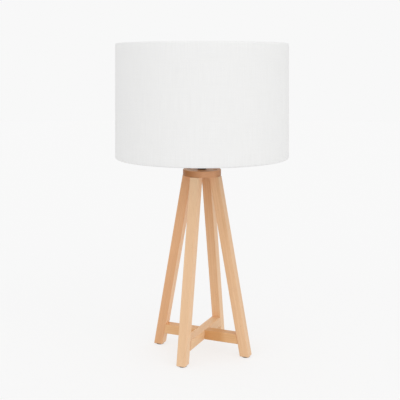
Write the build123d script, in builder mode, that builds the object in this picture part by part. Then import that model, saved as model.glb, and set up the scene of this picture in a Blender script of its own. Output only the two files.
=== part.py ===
from build123d import *
import os
from math import atan2, cos, degrees, radians, sin

# A table lamp: four splayed square legs under a turned disc, two half-lapped rails between them, a screw
# lampholder on a threaded tube, an opal bulb, and a drum shade on a wire carrier.
# Millimetres, +Z up. The origin is on the floor on the lamp's axis, and the front leg is towards -Y.

# Clearances
glue_gap = 0.05
screw_gap = 0.05
block_gap = 0.1
running_gap = 0.3

# Legs: the stance is set by each leg's outer face, where it meets the disc and where it would meet the floor
frame_height = 323.0
leg_width = 17.0
leg_top_reach = 34.0
leg_foot_reach = 94.3
leg_edge_radius = 1.3
foot_chamfer = 1.5
pad_diameter = 14.0
pad_thickness = 1.3
pad_edge = 0.4

# Disc
disc_diameter = 67.0
disc_thickness = 11.0
disc_edge_radius = 0.9
recess_diameter = 25.0
recess_depth = 6.0
recess_edge = 0.4

# Rails
rail_width = 18.0
rail_height = 17.5
rail_underside = 24.0
rail_edge_radius = 1.2
rail_dowel_diameter = 6.0
rail_dowel_length = 26.0

# Wood screw and dowel side by side in the top of each leg
leg_fixing_spacing = 8.0
leg_dowel_diameter = 5.0
leg_dowel_length = 24.0
leg_dowel_in_disc = 7.0
dowel_end_chamfer = 0.5
screw_diameter = 4.0
screw_head_diameter = 7.6
screw_head_height = 2.4
screw_length = 40.0
screw_point_length = 4.0
screw_tip_diameter = 1.0
screw_head_depth = 1.2
screw_slot_length = 4.7
screw_slot_width = 1.1
screw_slot_depth = 1.2

# Threaded tube and what clamps it in the recess under the disc
tube_diameter = 10.0
tube_bore = 8.0
tube_in_holder = 11.0
tube_below_nut = 0.5
tube_end_chamfer = 0.5
washer_diameter = 22.0
washer_thickness = 1.5
washer_edge = 0.3
nut_width = 14.0
nut_thickness = 3.0
nut_corner_margin = 0.15
nut_corner_slope = 30.0
bush_flange_diameter = 12.5
bush_flange_thickness = 1.0
bush_sleeve_length = 6.0
bush_bore = 6.8
bush_flange_edge = 0.4

# Lampholder, measured up from the disc
neck_diameter = 15.0
neck_height = 6.5
cap_diameter = 38.0
cap_shoulder_height = 15.0
cap_swell = 3.0
cap_swell_radius = 1.5
cap_height = 25.0
cap_wall = 2.5
cap_ledge = 1.5
cap_edge_search = 0.01
spigot_height = 5.0
skirt_barrel_diameter = 40.0
skirt_shoulder_diameter = 47.0
skirt_shoulder_thickness = 3.0
skirt_shoulder_height = 40.0
skirt_height = 58.0
skirt_thread_diameter = 39.6
skirt_bore = 35.0
skirt_lip_bore = 30.0
skirt_lip_height = 3.0
skirt_rim_edge = 0.6
grip_flutes = 24
grip_flute_radius = 1.0
grip_flute_set_out = 0.4
grip_flute_end = 1.5
block_diameter = 32.0
block_height = 14.0
block_recess_diameter = 13.0
block_recess_depth = 4.0
block_edge = 0.5
shell_bore = 27.0
shell_wall = 0.5
shell_height = 21.5
terminal_screw_diameter = 3.5
terminal_screw_head = 6.0
terminal_screw_length = 7.0
terminal_spacing = 14.0
terminal_head_sink = 1.0
terminal_head_height = 2.0
terminal_slot_width = 0.8
terminal_slot_depth = 0.8
contact_strip_width = 5.0
contact_strip_thickness = 0.5
contact_strip_length = 10.0
contact_rise = 1.2

# Ring nut on the lampholder
ring_flange_diameter = 57.0
ring_flange_thickness = 2.2
ring_hub_diameter = 46.0
ring_height = 8.5
ring_grips = 18
ring_grip_radius = 1.4
ring_flange_edge = 0.6
ring_mouth_edge = 0.6
ring_fit_gap = 0.1

# Bulb, measured up from the centre contact's tip
bulb_contact_gap = 0.3
bulb_contact_diameter = 9.0
bulb_contact_height = 1.4
bulb_contact_edge = 1.0
bulb_insulator_height = 3.6
bulb_insulator_land = 2.5
bulb_cap_diameter = 26.2
bulb_cap_length = 27.0
bulb_body_neck_height = 3.0
bulb_body_neck_diameter = 29.0
bulb_body_rim_diameter = 55.0
bulb_body_flare = 0.22
bulb_globe_diameter = 60.0
bulb_length = 106.0
bulb_glass = 1.5
bulb_cap_wall = 0.4
led_board_diameter = 36.0
led_board_thickness = 1.6
led_count = 10
led_width = 2.8
led_height = 0.7
led_circle_diameter = 26.0

# Shade
shade_height = 195.3
shade_bottom_diameter = 302.8
shade_top_diameter = 295.6
shade_drop = 19.3
cloth_thickness = 0.45
liner_thickness = 0.4
laminate_gap = 0.3
hoop_wire = 3.6
hem_gap = 0.5
hem_close_angle = 30.0
slit_gap = 0.4
seam_lap = 12.0
seam_middle = 120.0
fitter_bore = 42.0
fitter_diameter = 58.0
fitter_thickness = 1.8
fitter_edge = 0.3
arm_wire = 3.6
arm_bend_radius = 9.0
arm_level_inner = 12.0
arm_level_outer = 14.0
arm_clear_of_shoulder = 1.5
arm_count = 3
arm_first_angle = 90.0

# Leg slope: the inward lean of a leg over the frame's height
leg_lean = (leg_foot_reach - leg_top_reach) / frame_height
leg_tilt = atan2(leg_lean, 1.0)
leg_depth_level = leg_width / cos(leg_tilt)
leg_axis_at_floor = leg_foot_reach - leg_depth_level / 2
leg_long = frame_height / cos(leg_tilt)

# Heights that follow from the stack
disc_top = frame_height + disc_thickness
recess_roof = frame_height + recess_depth
rail_middle = rail_underside + rail_height / 2
holder_shoulder = disc_top + skirt_shoulder_height
holder_rim = disc_top + skirt_height
fitter_underside = holder_shoulder + running_gap
fitter_top = fitter_underside + fitter_thickness
shade_bottom = fitter_underside - shade_drop
shade_top = shade_bottom + shade_height

leg_names = {"front": -90.0, "right": 0.0, "back": 90.0, "left": 180.0}

os.makedirs("parts", exist_ok=True)


def save(builder, name):
    """Label a finished piece and write it under its own name."""
    builder.part.label = name
    export_step(builder.part, f"parts/{name}.step")


def lean_plane(angle, height, aside=0.0):
    """A plane square to the leg at this angle, with its origin on the leg's axis at this height."""
    reach = leg_axis_at_floor - leg_lean * height
    out = Vector(cos(radians(angle)), sin(radians(angle)), 0)
    across = Vector(-out.Y, out.X, 0)
    up_leg = Vector(-out.X * leg_lean, -out.Y * leg_lean, 1)
    return Plane(origin=out * reach + across * aside + Vector(0, 0, height), x_dir=across, z_dir=up_leg)


def outward_plane(angle, reach, height):
    """A plane that faces straight out from the lamp's axis, for what lies level in a leg or a rail."""
    out = Vector(cos(radians(angle)), sin(radians(angle)), 0)
    return Plane(origin=out * reach + Vector(0, 0, height), x_dir=(0, 0, 1), z_dir=out)


# Frame fixings stand half a spacing to each side of the leg's axis
screw_aside = leg_fixing_spacing / 2
dowel_aside = -leg_fixing_spacing / 2
screw_seat = disc_top - screw_head_depth
rail_end_reach = leg_axis_at_floor - leg_lean * rail_middle - leg_depth_level / 2

# Wood screws, one down the axis of each leg, heads sunk in the disc
with BuildPart() as leg_screws:
    for angle in leg_names.values():
        head = lean_plane(angle, screw_seat, screw_aside)
        with BuildSketch(head):
            Circle(screw_head_diameter / 2)
        with BuildSketch(head.offset(-screw_head_height)):
            Circle(screw_diameter / 2)
        loft()
        with BuildSketch(head.offset(-screw_head_height)):
            Circle(screw_diameter / 2)
        extrude(amount=-(screw_length - screw_head_height - screw_point_length))
        with BuildSketch(head.offset(-(screw_length - screw_point_length))):
            Circle(screw_diameter / 2)
        with BuildSketch(head.offset(-screw_length)):
            Circle(screw_tip_diameter / 2)
        loft()
        for turn in (0, 90):
            with BuildSketch(head):
                Rectangle(screw_slot_length, screw_slot_width, rotation=turn)
            extrude(amount=-screw_slot_depth, mode=Mode.SUBTRACT)
save(leg_screws, "leg_screws")

# Dowels between the disc and the legs
with BuildPart() as leg_dowels:
    for angle in leg_names.values():
        with BuildSketch(lean_plane(angle, frame_height + leg_dowel_in_disc, dowel_aside)):
            Circle(leg_dowel_diameter / 2)
        extrude(amount=-leg_dowel_length)
    chamfer(leg_dowels.edges().filter_by(GeomType.CIRCLE), length=dowel_end_chamfer)
save(leg_dowels, "leg_dowels")

# Dowels between the rails and the legs, half their length in each
with BuildPart() as rail_dowels:
    for angle in leg_names.values():
        with BuildSketch(outward_plane(angle, rail_end_reach, rail_middle)):
            Circle(rail_dowel_diameter / 2)
        extrude(amount=rail_dowel_length / 2, both=True)
    chamfer(rail_dowels.edges().filter_by(GeomType.CIRCLE), length=dowel_end_chamfer)
save(rail_dowels, "rail_dowels")

# Legs: square stock along the lean, cut level at the disc and above the pad, with eased edges
for name, angle in leg_names.items():
    with BuildPart() as leg:
        with BuildSketch(lean_plane(angle, frame_height / 2)):
            Rectangle(leg_width, leg_width)
        extrude(amount=leg_long, both=True)
        split(bisect_by=Plane.XY.offset(pad_thickness), keep=Keep.TOP)
        split(bisect_by=Plane.XY.offset(frame_height), keep=Keep.BOTTOM)
        chamfer(leg.faces().sort_by(Axis.Z)[0].edges(), length=foot_chamfer)
        long_edges = leg.edges().filter_by(lambda edge: edge.length > frame_height / 2)
        fillet(long_edges, radius=leg_edge_radius)
        with BuildSketch(lean_plane(angle, frame_height, screw_aside)):
            Circle(screw_diameter / 2 + screw_gap)
        extrude(amount=screw_length, both=True, mode=Mode.SUBTRACT)
        with BuildSketch(lean_plane(angle, frame_height + leg_dowel_in_disc, dowel_aside)):
            Circle(leg_dowel_diameter / 2 + glue_gap)
        extrude(amount=-leg_dowel_length - glue_gap, mode=Mode.SUBTRACT)
        with BuildSketch(outward_plane(angle, rail_end_reach, rail_middle)):
            Circle(rail_dowel_diameter / 2 + glue_gap)
        extrude(amount=rail_dowel_length / 2 + glue_gap, both=True, mode=Mode.SUBTRACT)
    save(leg, f"leg_{name}")

    with BuildPart() as foot_pad:
        pad_reach = leg_axis_at_floor - leg_lean * pad_thickness
        with BuildSketch():
            with PolarLocations(pad_reach, 1, start_angle=angle):
                Circle(pad_diameter / 2)
        extrude(amount=pad_thickness)
        fillet(foot_pad.edges().sort_by(Axis.Z)[0], radius=pad_edge)
    save(foot_pad, f"foot_pad_{name}")

# Disc: a turned cap over the legs, bored for the tube, the screws and the dowels, with a recess underneath
# that hides the tube's washer and nut
with BuildPart() as top_disc:
    with BuildSketch(Plane.XY.offset(frame_height)):
        Circle(disc_diameter / 2)
        Circle(tube_diameter / 2 + screw_gap, mode=Mode.SUBTRACT)
    extrude(amount=disc_thickness)
    rims = top_disc.edges().filter_by(GeomType.CIRCLE).group_by(SortBy.RADIUS)[-1]
    fillet(rims, radius=disc_edge_radius)
    with BuildSketch(Plane.XY.offset(frame_height)):
        Circle(recess_diameter / 2)
    extrude(amount=recess_depth, mode=Mode.SUBTRACT)
    chamfer(top_disc.faces().sort_by(Axis.Z)[0].inner_wires()[0].edges(), length=recess_edge)
    for angle in leg_names.values():
        head = lean_plane(angle, screw_seat, screw_aside)
        with BuildSketch(head):
            Circle(screw_head_diameter / 2 + screw_gap)
        extrude(amount=screw_head_height, mode=Mode.SUBTRACT)
        with BuildSketch(head):
            Circle(screw_head_diameter / 2 + screw_gap)
        with BuildSketch(head.offset(-screw_head_height)):
            Circle(screw_diameter / 2 + screw_gap)
        loft(mode=Mode.SUBTRACT)
        with BuildSketch(head):
            Circle(screw_diameter / 2 + screw_gap)
        extrude(amount=-2 * disc_thickness, mode=Mode.SUBTRACT)
        with BuildSketch(lean_plane(angle, frame_height + leg_dowel_in_disc, dowel_aside)):
            Circle(leg_dowel_diameter / 2 + glue_gap)
        extrude(amount=-leg_dowel_length, mode=Mode.SUBTRACT)
save(top_disc, "top_disc")


def rail(along_x, notch_from_above):
    """A rail between two opposite legs, with its ends cut to the legs' lean and half its height notched."""
    with BuildPart() as bar:
        with BuildSketch(Plane.YZ if along_x else Plane.XZ):
            with Locations((0, rail_middle)):
                Rectangle(rail_width, rail_height)
        extrude(amount=leg_foot_reach, both=True)
        long_edges = bar.edges().filter_by(lambda edge: edge.length > leg_foot_reach)
        fillet(long_edges, radius=rail_edge_radius)
        for angle in (0.0, 180.0) if along_x else (90.0, -90.0):
            rail_end = outward_plane(angle, rail_end_reach, rail_middle)
            split(bisect_by=Plane(origin=rail_end.origin, z_dir=rail_end.z_dir + Vector(0, 0, leg_lean)),
                  keep=Keep.BOTTOM)
            with BuildSketch(rail_end):
                Circle(rail_dowel_diameter / 2 + glue_gap)
            extrude(amount=rail_dowel_length / 2 + glue_gap, both=True, mode=Mode.SUBTRACT)
        with BuildSketch(Plane.XY.offset(rail_middle)):
            Rectangle(rail_width + 2 * glue_gap, rail_width + 2 * glue_gap)
        extrude(amount=rail_height if notch_from_above else -rail_height, mode=Mode.SUBTRACT)
    return bar


rail_lower = rail(along_x=True, notch_from_above=True)
save(rail_lower, "rail_lower")
rail_upper = rail(along_x=False, notch_from_above=False)
save(rail_upper, "rail_upper")

# Threaded tube from below the nut up into the lampholder's neck
nut_underside = recess_roof - washer_thickness - nut_thickness
tube_bottom = nut_underside - tube_below_nut
tube_top = disc_top + tube_in_holder
with BuildPart() as threaded_tube:
    with BuildSketch(Plane.XY.offset(tube_bottom)):
        Circle(tube_diameter / 2)
        Circle(tube_bore / 2, mode=Mode.SUBTRACT)
    extrude(amount=tube_top - tube_bottom)
    outer_ends = threaded_tube.edges().filter_by(GeomType.CIRCLE).group_by(SortBy.RADIUS)[-1]
    chamfer(outer_ends, length=tube_end_chamfer)
save(threaded_tube, "threaded_tube")

with BuildPart() as tube_washer:
    with BuildSketch(Plane.XY.offset(recess_roof - washer_thickness)):
        Circle(washer_diameter / 2)
        Circle(tube_diameter / 2 + screw_gap, mode=Mode.SUBTRACT)
    extrude(amount=washer_thickness)
    chamfer(tube_washer.faces().sort_by(Axis.Z)[0].outer_wire().edges(), length=washer_edge)
save(tube_washer, "tube_washer")

# Hexagon nut: its corners are turned off by a shallow cone
with BuildPart() as tube_nut:
    with BuildSketch(Plane.XY.offset(nut_underside)):
        RegularPolygon(nut_width / 2, side_count=6, major_radius=False)
        Circle(tube_diameter / 2 + screw_gap, mode=Mode.SUBTRACT)
    extrude(amount=nut_thickness)
    with BuildSketch(Plane.XY.offset(nut_underside)):
        Circle(nut_width / 2 + nut_corner_margin)
    extrude(amount=nut_thickness, taper=-nut_corner_slope, mode=Mode.INTERSECT)
save(tube_nut, "tube_nut")

# Cord bush: a flanged sleeve pressed up into the tube, the way in for the cord
with BuildPart() as cord_bush:
    with BuildSketch(Plane.XZ):
        with BuildLine():
            Polyline(
                (bush_bore / 2, tube_bottom - bush_flange_thickness),
                (bush_flange_diameter / 2, tube_bottom - bush_flange_thickness),
                (bush_flange_diameter / 2, tube_bottom),
                (tube_bore / 2 - screw_gap, tube_bottom),
                (tube_bore / 2 - screw_gap, tube_bottom + bush_sleeve_length),
                (bush_bore / 2, tube_bottom + bush_sleeve_length),
                close=True,
            )
        make_face()
    revolve(axis=Axis.Z)
    mouth = cord_bush.edges().group_by(Axis.Z)[0]
    fillet(mouth.sort_by(SortBy.RADIUS)[-1], radius=bush_flange_edge)
save(cord_bush, "cord_bush")

# Lampholder cap: a narrow neck that swells to a cup, bored for the tube, with a ledge for the block
# and a spigot that the skirt screws on
cap_radius = cap_diameter / 2
cap_bore_radius = block_diameter / 2 + block_gap
cap_floor = disc_top + neck_height + cap_wall
block_bottom = disc_top + cap_shoulder_height + cap_wall
block_top = block_bottom + block_height
with BuildPart() as holder_cap:
    with BuildSketch(Plane.XZ):
        with BuildLine():
            Polyline(
                (tube_diameter / 2 + screw_gap, disc_top),
                (neck_diameter / 2, disc_top),
                (neck_diameter / 2, disc_top + neck_height),
                (cap_radius - cap_swell, disc_top + cap_shoulder_height - cap_swell),
                (cap_radius, disc_top + cap_shoulder_height),
                (cap_radius, disc_top + cap_height),
                (skirt_bore / 2 - screw_gap, disc_top + cap_height),
                (skirt_bore / 2 - screw_gap, disc_top + cap_height + spigot_height),
                (cap_bore_radius, disc_top + cap_height + spigot_height),
                (cap_bore_radius, block_bottom),
                (cap_bore_radius - cap_ledge, block_bottom),
                (neck_diameter / 2, cap_floor),
                (tube_diameter / 2 + screw_gap, cap_floor),
                close=True,
            )
        make_face()
    revolve(axis=Axis.Z)
    swell_heights = (neck_height, cap_shoulder_height - cap_swell, cap_shoulder_height)
    for height in swell_heights:
        level = disc_top + height
        corner = holder_cap.edges().filter_by(GeomType.CIRCLE).filter_by_position(
            Axis.Z, level - cap_edge_search, level + cap_edge_search).sort_by(SortBy.RADIUS)[-1]
        fillet(corner, radius=cap_swell_radius)
save(holder_cap, "holder_cap")

# Ceramic block that carries the contacts: it rests on the cap's ledge
with BuildPart() as contact_block:
    with BuildSketch(Plane.XY.offset(block_bottom)):
        Circle(block_diameter / 2)
    extrude(amount=block_height)
    chamfer(contact_block.edges(), length=block_edge)
    with BuildSketch(Plane.XY.offset(block_top)):
        Circle(block_recess_diameter / 2)
    extrude(amount=-block_recess_depth, mode=Mode.SUBTRACT)
    with BuildSketch(Plane.XY.offset(block_bottom)):
        with GridLocations(terminal_spacing, 0, 2, 1):
            Circle(terminal_screw_diameter / 2 + screw_gap)
    extrude(amount=terminal_screw_length + screw_gap, mode=Mode.SUBTRACT)
    with BuildSketch(Plane.XY.offset(block_bottom)):
        with GridLocations(terminal_spacing, 0, 2, 1):
            Circle(terminal_screw_head / 2 + screw_gap)
    extrude(amount=terminal_head_sink, mode=Mode.SUBTRACT)
save(contact_block, "contact_block")

# Terminal screws in the underside of the block
with BuildPart() as terminal_screws:
    with BuildSketch(Plane.XY.offset(block_bottom + terminal_screw_length)):
        with GridLocations(terminal_spacing, 0, 2, 1):
            Circle(terminal_screw_diameter / 2)
    extrude(amount=-terminal_screw_length)
    with BuildSketch(Plane.XY.offset(block_bottom + terminal_head_sink)):
        with GridLocations(terminal_spacing, 0, 2, 1):
            Circle(terminal_screw_head / 2)
    extrude(amount=-terminal_head_height)
    with BuildSketch(Plane.XY.offset(block_bottom + terminal_head_sink - terminal_head_height)):
        with GridLocations(terminal_spacing, 0, 2, 1):
            Rectangle(terminal_screw_head, terminal_slot_width)
    extrude(amount=terminal_slot_depth, mode=Mode.SUBTRACT)
save(terminal_screws, "terminal_screws")

# Centre contact: a strip that lies in the block's recess and springs up to the bulb's tip
recess_floor = block_top - block_recess_depth
bulb_tip = block_top + contact_rise + bulb_contact_gap
strip_end = contact_strip_length / 2
strip_low = recess_floor + contact_strip_thickness / 2
strip_high = block_top + contact_rise - contact_strip_thickness / 2
with BuildPart() as centre_contact:
    with BuildSketch(Plane.XZ):
        with BuildLine():
            FilletPolyline(
                (-strip_end, strip_low),
                (-strip_end / 2, strip_low),
                (-strip_end / 4, strip_high),
                (strip_end, strip_high),
                radius=2 * contact_strip_thickness,
            )
        trace(line_width=contact_strip_thickness)
    extrude(amount=contact_strip_width / 2, both=True)
save(centre_contact, "centre_contact")

# Brass screw shell on the block, open at the top, with an inward lip that sits on the ceramic
with BuildPart() as screw_shell:
    with BuildSketch(Plane.XZ):
        with BuildLine():
            Polyline(
                (block_recess_diameter / 2, block_top),
                (shell_bore / 2 + shell_wall, block_top),
                (shell_bore / 2 + shell_wall, block_top + shell_height),
                (shell_bore / 2, block_top + shell_height),
                (shell_bore / 2, block_top + shell_wall),
                (block_recess_diameter / 2, block_top + shell_wall),
                close=True,
            )
        make_face()
    revolve(axis=Axis.Z)
save(screw_shell, "screw_shell")

# Lampholder skirt: a fluted barrel, the shoulder that carries the shade, a threaded collar and an inner lip
with BuildPart() as holder_skirt:
    with BuildSketch(Plane.XZ):
        with BuildLine():
            Polyline(
                (skirt_bore / 2, disc_top + cap_height),
                (skirt_barrel_diameter / 2, disc_top + cap_height),
                (skirt_barrel_diameter / 2, holder_shoulder - skirt_shoulder_thickness),
                (skirt_shoulder_diameter / 2, holder_shoulder - skirt_shoulder_thickness),
                (skirt_shoulder_diameter / 2, holder_shoulder),
                (skirt_thread_diameter / 2, holder_shoulder),
                (skirt_thread_diameter / 2, holder_rim),
                (skirt_lip_bore / 2, holder_rim),
                (skirt_lip_bore / 2, holder_rim - skirt_lip_height),
                (skirt_bore / 2, holder_rim - skirt_lip_height),
                close=True,
            )
        make_face()
    revolve(axis=Axis.Z)
    chamfer(holder_skirt.faces().sort_by(Axis.Z)[-1].edges(), length=skirt_rim_edge)
    with BuildSketch(Plane.XY.offset(disc_top + cap_height)):
        with PolarLocations(skirt_barrel_diameter / 2 + grip_flute_set_out, grip_flutes):
            Circle(grip_flute_radius)
    flute_length = skirt_shoulder_height - skirt_shoulder_thickness - cap_height - grip_flute_end
    extrude(amount=flute_length, mode=Mode.SUBTRACT)
save(holder_skirt, "holder_skirt")

# Ring nut: a flange that presses on the carrier, and a notched hub that the fingers turn
ring_bottom = fitter_top + running_gap
with BuildPart() as shade_ring:
    with BuildSketch(Plane.XY.offset(ring_bottom)):
        Circle(ring_flange_diameter / 2)
    extrude(amount=ring_flange_thickness)
    fillet(shade_ring.edges(), radius=ring_flange_edge)
    with BuildSketch(Plane.XY.offset(ring_bottom + ring_flange_thickness)):
        Circle(ring_hub_diameter / 2)
        with PolarLocations(ring_hub_diameter / 2, ring_grips):
            Circle(ring_grip_radius, mode=Mode.SUBTRACT)
    extrude(amount=ring_height - ring_flange_thickness)
    with BuildSketch(Plane.XY.offset(ring_bottom)):
        Circle(skirt_thread_diameter / 2 + ring_fit_gap)
    extrude(amount=ring_height, mode=Mode.SUBTRACT)
    chamfer(shade_ring.faces().sort_by(Axis.Z)[-1].inner_wires()[0].edges(), length=ring_mouth_edge)
save(shade_ring, "shade_ring")

# Bulb: each piece is turned about the lamp's axis, measured up from the centre contact's tip
with BuildPart() as bulb_contact:
    with BuildSketch(Plane.XY.offset(bulb_tip)):
        Circle(bulb_contact_diameter / 2)
    extrude(amount=bulb_contact_height)
    fillet(bulb_contact.edges().sort_by(Axis.Z)[0], radius=bulb_contact_edge)
save(bulb_contact, "bulb_contact")

insulator_bottom = bulb_tip + bulb_contact_height + glue_gap
shell_bottom = insulator_bottom + bulb_insulator_height
cap_top = bulb_tip + bulb_cap_length
with BuildPart() as bulb_insulator:
    with BuildSketch(Plane.XY.offset(insulator_bottom)):
        Circle(bulb_contact_diameter / 2 + bulb_insulator_land)
    with BuildSketch(Plane.XY.offset(shell_bottom)):
        Circle(bulb_cap_diameter / 2 - bulb_cap_wall - glue_gap)
    loft()
save(bulb_insulator, "bulb_insulator")

with BuildPart() as bulb_cap:
    with BuildSketch(Plane.XZ):
        with BuildLine():
            Polyline(
                (bulb_cap_diameter / 2 - bulb_cap_wall, shell_bottom),
                (bulb_cap_diameter / 2, shell_bottom),
                (bulb_cap_diameter / 2, cap_top - bulb_cap_wall),
                (bulb_body_neck_diameter / 2, cap_top - bulb_cap_wall),
                (bulb_body_neck_diameter / 2, cap_top),
                (bulb_cap_diameter / 2 - bulb_cap_wall, cap_top),
                close=True,
            )
        make_face()
    revolve(axis=Axis.Z)
save(bulb_cap, "bulb_cap")

globe_radius = bulb_globe_diameter / 2
globe_centre = bulb_tip + bulb_length - globe_radius
globe_seat = globe_centre - (globe_radius**2 - (bulb_body_rim_diameter / 2) ** 2) ** 0.5
with BuildPart() as bulb_body:
    with BuildSketch(Plane.XZ):
        with BuildLine():
            Polyline(
                (0, shell_bottom + glue_gap),
                (bulb_cap_diameter / 2 - bulb_cap_wall - glue_gap, shell_bottom + glue_gap),
                (bulb_cap_diameter / 2 - bulb_cap_wall - glue_gap, cap_top + glue_gap),
                (bulb_body_neck_diameter / 2, cap_top + glue_gap),
                (bulb_body_neck_diameter / 2, cap_top + bulb_body_neck_height),
            )
            flare = TangentArc(
                (bulb_body_neck_diameter / 2, cap_top + bulb_body_neck_height),
                (bulb_body_rim_diameter / 2, globe_seat),
                tangent=(bulb_body_flare, 1),
            )
            Polyline(flare @ 1, (0, globe_seat), (0, shell_bottom + glue_gap))
        make_face()
    revolve(axis=Axis.Z)
save(bulb_body, "bulb_body")

inner_globe = globe_radius - bulb_glass
with BuildPart() as bulb_globe:
    with BuildSketch(Plane.XZ):
        with BuildLine():
            outside = ThreePointArc(
                (bulb_body_rim_diameter / 2, globe_seat),
                (globe_radius, globe_centre),
                (0, globe_centre + globe_radius),
            )
            crown = Line(outside @ 1, (0, globe_centre + inner_globe))
            lip_radius = (inner_globe**2 - (globe_centre - globe_seat) ** 2) ** 0.5
            inside = ThreePointArc(crown @ 1, (inner_globe, globe_centre), (lip_radius, globe_seat))
            Line(inside @ 1, outside @ 0)
        make_face()
    revolve(axis=Axis.Z)
save(bulb_globe, "bulb_globe")

with BuildPart() as led_board:
    with BuildSketch(Plane.XY.offset(globe_seat)):
        Circle(led_board_diameter / 2)
    extrude(amount=led_board_thickness)
    with BuildSketch(Plane.XY.offset(globe_seat + led_board_thickness)):
        with PolarLocations(led_circle_diameter / 2, led_count):
            Rectangle(led_width, led_width)
    extrude(amount=led_height)
save(led_board, "led_board")

# Carrier: a washer on the lampholder's shoulder, and bent wire arms down to the lower hoop
with BuildPart() as fitter_ring:
    with BuildSketch(Plane.XY.offset(fitter_underside)):
        Circle(fitter_diameter / 2)
        Circle(fitter_bore / 2, mode=Mode.SUBTRACT)
    extrude(amount=fitter_thickness)
    chamfer(fitter_ring.edges().filter_by(GeomType.CIRCLE), length=fitter_edge)
save(fitter_ring, "fitter_ring")

# Hoops in the rolled rims: the hem is the wire, the cloth and the glue between them
hem_inside = hoop_wire / 2 + hem_gap
hem_outside = hem_inside + cloth_thickness
lower_hoop = Vector(shade_bottom_diameter / 2 - hem_outside, shade_bottom + hem_outside)
upper_hoop = Vector(shade_top_diameter / 2 - hem_outside, shade_top - hem_outside)
wall_up = (upper_hoop - lower_hoop).normalized()
wall_out = Vector(wall_up.Y, -wall_up.X)

with BuildPart() as bottom_ring:
    with Locations((0, 0, lower_hoop.Y)):
        Torus(lower_hoop.X, hoop_wire / 2)
save(bottom_ring, "bottom_ring")

with BuildPart() as top_ring:
    with Locations((0, 0, upper_hoop.Y)):
        Torus(upper_hoop.X, hoop_wire / 2)
save(top_ring, "top_ring")

arm_height = fitter_underside - arm_wire / 2 - glue_gap
arm_start = skirt_shoulder_diameter / 2 + arm_clear_of_shoulder
arm_end = lower_hoop.X - hoop_wire / 2 - glue_gap
for number in range(arm_count):
    angle = arm_first_angle + number * 360 / arm_count
    radial = Plane.XZ.rotated((0, 0, angle))
    with BuildPart() as fitter_arm:
        with BuildLine(radial) as route:
            FilletPolyline(
                (arm_start, arm_height),
                (arm_start + arm_level_inner, arm_height),
                (arm_end - arm_level_outer, lower_hoop.Y),
                (arm_end, lower_hoop.Y),
                radius=arm_bend_radius,
            )
        with BuildSketch(Plane(origin=route.line @ 0, z_dir=route.line % 0)):
            Circle(arm_wire / 2)
        sweep()
    save(fitter_arm, f"fitter_arm_{number + 1}")

# Lining: a plain tapered sleeve between the hoops, behind the cloth
liner_out = hem_inside - laminate_gap
liner_in = liner_out - liner_thickness
liner_low = lower_hoop + wall_up * hem_inside
liner_high = upper_hoop - wall_up * hem_inside
with BuildPart() as shade_liner:
    with BuildSketch(Plane.XZ):
        with BuildLine():
            Polyline(
                liner_low + wall_out * liner_in,
                liner_low + wall_out * liner_out,
                liner_high + wall_out * liner_out,
                liner_high + wall_out * liner_in,
                close=True,
            )
        make_face()
    revolve(axis=Axis.Z)
save(shade_liner, "shade_liner")

# Cloth: it runs down the wall, rolls round each hoop and ends on the back of the lining
roll = 180 + hem_close_angle
tail = (liner_in - laminate_gap + hem_inside * cos(radians(hem_close_angle))) / sin(radians(hem_close_angle))
with BuildPart() as shade_fabric:
    with BuildSketch(Plane.XZ):
        with BuildLine():
            wall = Line(lower_hoop + wall_out * hem_outside, upper_hoop + wall_out * hem_outside)
            upper_roll = JernArc(wall @ 1, wall % 1, hem_outside, roll)
            upper_tail = Line(upper_roll @ 1, upper_roll @ 1 + (upper_roll % 1) * tail)
            back = Line(upper_hoop + wall_out * hem_inside, lower_hoop + wall_out * hem_inside)
            upper_inner = JernArc(back @ 0, wall % 1, hem_inside, roll)
            upper_inner_tail = Line(upper_inner @ 1, upper_inner @ 1 + (upper_inner % 1) * tail)
            Line(upper_tail @ 1, upper_inner_tail @ 1)
            lower_roll = JernArc(wall @ 0, -(wall % 0), hem_outside, -roll)
            lower_tail = Line(lower_roll @ 1, lower_roll @ 1 + (lower_roll % 1) * tail)
            lower_inner = JernArc(back @ 1, -(wall % 0), hem_inside, -roll)
            lower_inner_tail = Line(lower_inner @ 1, lower_inner @ 1 + (lower_inner % 1) * tail)
            Line(lower_tail @ 1, lower_inner_tail @ 1)
        make_face()
    revolve(axis=Axis.Z)
    for number in range(arm_count):
        angle = arm_first_angle + number * 360 / arm_count
        with BuildSketch(outward_plane(angle, arm_end - arm_level_outer, lower_hoop.Y)):
            Circle(arm_wire / 2 + slit_gap)
        extrude(amount=arm_level_outer, mode=Mode.SUBTRACT)
    seam_angle = degrees(seam_lap / (shade_bottom_diameter / 2))
    with BuildSketch(Plane.XZ.rotated((0, 0, seam_middle - seam_angle / 2))):
        with BuildLine():
            Polyline(
                lower_hoop + wall_out * hem_outside,
                lower_hoop + wall_out * (hem_outside + cloth_thickness),
                upper_hoop + wall_out * (hem_outside + cloth_thickness),
                upper_hoop + wall_out * hem_outside,
                close=True,
            )
        make_face()
    revolve(axis=Axis.Z, revolution_arc=seam_angle)
save(shade_fabric, "shade_fabric")
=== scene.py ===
# %% [markdown]
# # A four-post table lamp, dressed
#
# The solids of this lamp are already right: four splayed legs under a turned disc, two crossed rails, a screw
# lampholder and a drum shade. They arrive in metres, the floor at height zero and the lamp's axis on Z.
# This lesson gives each of them its surface. Where a plain solid leaves out what makes the real piece
# convincing, such as cloth rolled over a wire or the thread on a bulb, the piece is modelled again here.

# %% Load the lamp
import math
import bmesh
import bpy
from mathutils import Matrix, Vector


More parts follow.
